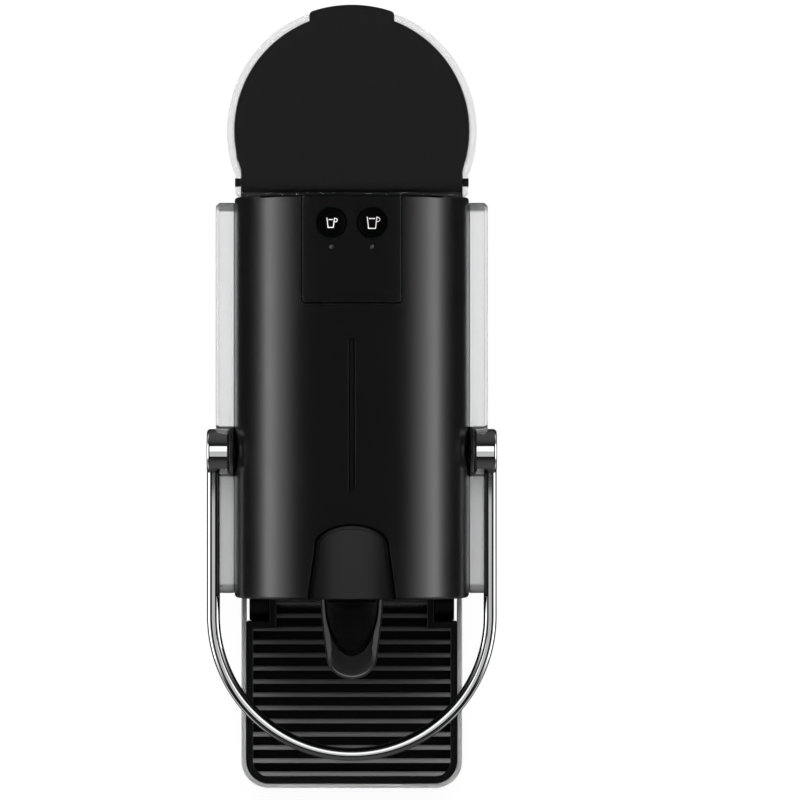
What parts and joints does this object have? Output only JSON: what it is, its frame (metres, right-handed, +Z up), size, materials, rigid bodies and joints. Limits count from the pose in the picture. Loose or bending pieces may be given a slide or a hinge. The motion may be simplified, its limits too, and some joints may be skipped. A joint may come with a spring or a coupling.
{
  "type": "pod coffee machine",
  "caption": "Narrow pod coffee machine with loaf-shaped head, hoop lever, aluminium side panels, clear rear tank and folding cup support.",
  "frame": {"origin": "centre of the object's footprint on the surface that it stands on", "axes": "+X to the right seen from the front, the front faces -Y, +Z up"},
  "size_m": [0.118, 0.3254, 0.235],
  "materials": {
    "shell_black": "satin-gloss moulded black plastic",
    "trim_black": "fine-grained matte black plastic",
    "button_black": "deep gloss black",
    "side_aluminium": "fine satin anodised aluminium",
    "lever_chrome": "polished chrome plating",
    "mechanism_steel": "machined steel",
    "rim_silver": "satin silver lacquered plastic",
    "tank_clear": "clear moulded plastic",
    "light_pipe": "unlit diffuse light pipe",
    "rubber_black": "matt black rubber",
    "silicone_clear": "translucent silicone",
    "mechanism_grey": "glass-filled grey plastic",
    "housing_white": "plain white plastic",
    "board_green": "lacquered circuit board",
    "heater_aluminium": "cast aluminium"
  },
  "bodies": {
    "machine": {"top_shell": "shell_black", "head_front": "shell_black", "head_floor": "trim_black", "rear_cover": "trim_black", "frame_left": "trim_black", "frame_right": "trim_black", "base_plate": "trim_black", "tank_plinth": "trim_black", "panel_left": "side_aluminium", "panel_right": "side_aluminium", "control_panel": "shell_black", "control_board": "board_green", "light_left": "light_pipe", "light_right": "light_pipe", "foot_front_left": "rubber_black", "foot_front_right": "rubber_black", "foot_rear_left": "rubber_black", "foot_rear_right": "rubber_black", "base_screw_front_left": "mechanism_steel", "base_screw_front_right": "mechanism_steel", "base_screw_rear_left": "mechanism_steel", "base_screw_rear_right": "mechanism_steel", "cord_gland": "rubber_black", "valve_coupling": "mechanism_grey", "pivot_bush_left": "rubber_black", "pivot_bush_right": "rubber_black", "brew_frame": "mechanism_grey", "extraction_plate": "mechanism_steel", "capsule_guide": "mechanism_grey", "coffee_outlet": "shell_black", "outlet_tongue": "shell_black", "coffee_spout": "trim_black", "pump_body": "housing_white", "pump_coil": "mechanism_steel", "pump_cradle": "rubber_black", "flow_meter": "housing_white", "thermoblock": "heater_aluminium", "heater_saddle": "mechanism_grey", "hose_tank_to_meter": "silicone_clear", "hose_meter_to_pump": "silicone_clear", "hose_pump_to_heater": "silicone_clear"},
    "lever_loop": {"lever": "lever_chrome", "crank_left": "mechanism_steel", "crank_right": "mechanism_steel"},
    "toggle_links": {"link_left": "mechanism_steel", "link_right": "mechanism_steel"},
    "carriage": {"injector_cage": "mechanism_grey", "capsule_door": "shell_black"},
    "small_button": {"button_small": "button_black"},
    "large_button": {"button_large": "button_black"},
    "tank": {"water_tank": "tank_clear", "lid_pin": "trim_black"},
    "lid": {"tank_lid": "trim_black"},
    "valve": {"tank_valve": "silicone_clear"},
    "maintenance_unit": {"capsule_container": "shell_black", "drip_tray": "trim_black", "hinge_pin": "mechanism_steel"},
    "cup_support": {"support_rim": "rim_silver", "cup_tray": "trim_black"},
    "grid": {"drip_grid": "trim_black"}
  },
  "joints": [
    {"name": "lever_pivot", "type": "hinge", "parent": "machine", "child": "lever_loop", "pos_m": [0, -0.0171, 0.1873], "axis": [-1, 0, 0], "range_deg": [0, 95]},
    {"name": "toggle_pivot", "type": "hinge", "parent": "lever_loop", "child": "toggle_links", "pos_m": [0, -0.0366, 0.1873], "axis": [1, 0, 0], "range_deg": [0, 149.2]},
    {"name": "cage_slide", "type": "slide", "parent": "machine", "child": "carriage", "axis": [0, 1, 0], "range_m": [0, 0.0312]},
    {"name": "small_button_press", "type": "slide", "parent": "machine", "child": "small_button", "axis": [0.1719, 0, -0.9851], "range_m": [0, 0.0012], "stiffness_N_per_m": 1500},
    {"name": "large_button_press", "type": "slide", "parent": "machine", "child": "large_button", "axis": [-0.1719, 0, -0.9851], "range_m": [0, 0.0012], "stiffness_N_per_m": 1500},
    {"name": "tank_lift", "type": "slide", "parent": "machine", "child": "tank", "axis": [0, 0, 1], "range_m": [0, 0.18]},
    {"name": "lid_hinge", "type": "hinge", "parent": "tank", "child": "lid", "pos_m": [0, 0.0914, 0.21795], "axis": [1, 0, 0], "range_deg": [0, 85]},
    {"name": "valve_slide", "type": "slide", "parent": "tank", "child": "valve", "axis": [0, 0, -1], "range_m": [0, 0.003], "stiffness_N_per_m": 400},
    {"name": "maintenance_slide", "type": "slide", "parent": "machine", "child": "maintenance_unit", "axis": [0, -1, 0], "range_m": [0, 0.15]},
    {"name": "cup_support_fold", "type": "hinge", "parent": "maintenance_unit", "child": "cup_support", "pos_m": [0, -0.084, 0.042], "axis": [-1, 0, 0], "range_deg": [0, 86]},
    {"name": "grid_lift", "type": "slide", "parent": "cup_support", "child": "grid", "axis": [0, 0, -1], "range_m": [-0.03, 0]}
  ],
  "couplings": [
    {"joint": "toggle_pivot", "follows": "lever_pivot", "ratio": 1.569},
    {"joint": "cage_slide", "follows": "lever_pivot", "m_per_rad": 0.0187}
  ]
}
